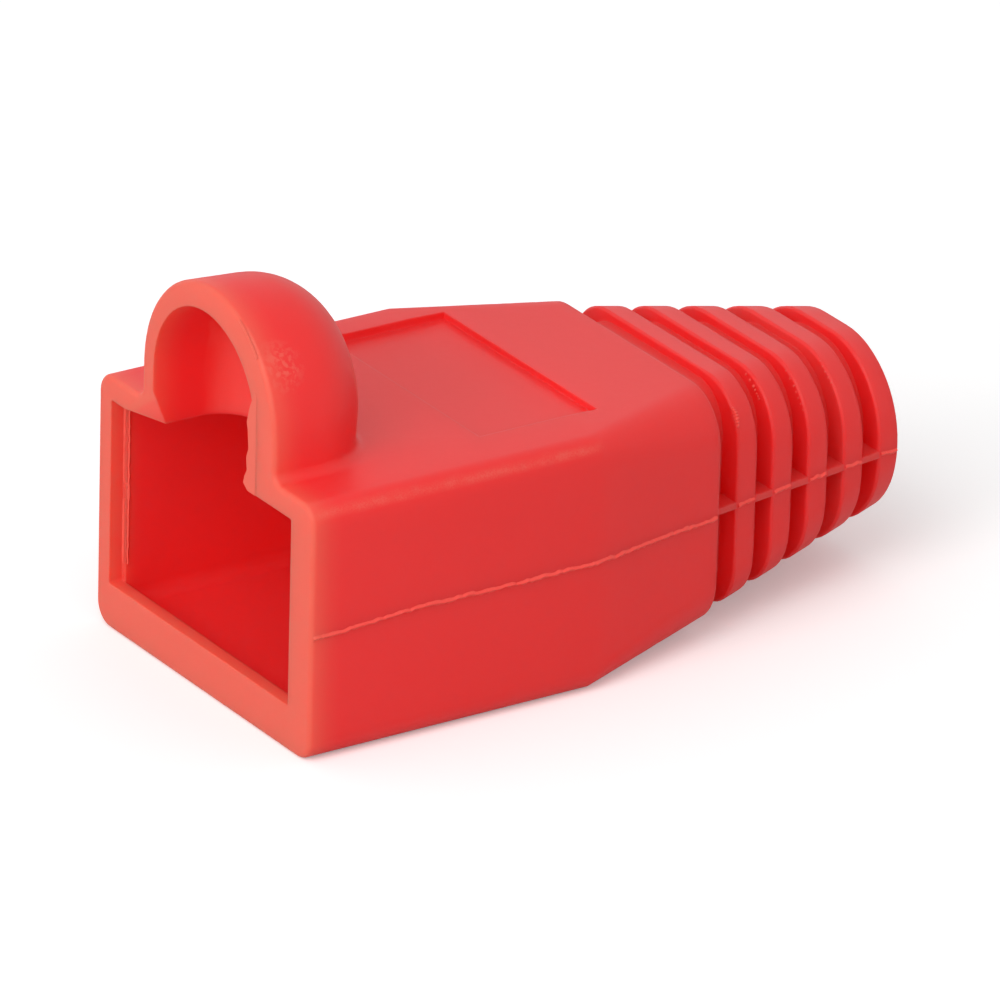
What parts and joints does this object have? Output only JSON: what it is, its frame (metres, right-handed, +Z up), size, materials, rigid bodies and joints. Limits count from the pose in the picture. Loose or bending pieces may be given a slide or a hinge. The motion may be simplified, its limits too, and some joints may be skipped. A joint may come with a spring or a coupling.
{
  "type": "rj45 strain relief boot",
  "caption": "Soft moulded boot: an open box that takes a modular plug, a hollow hoop over the latch, and a tapering ribbed tail with a cable bore.",
  "frame": {"origin": "middle of the bounding box across and along, on the flat underside that the boot rests on", "axes": "+X from the mouth to the tail along the cable, +Y across, +Z up through the hoop"},
  "size_m": [0.0264, 0.014, 0.0153],
  "materials": {
    "boot": "satin, softly moulded red PVC"
  },
  "bodies": {
    "root": {"strain_relief_boot": "boot"}
  },
  "joints": []
}
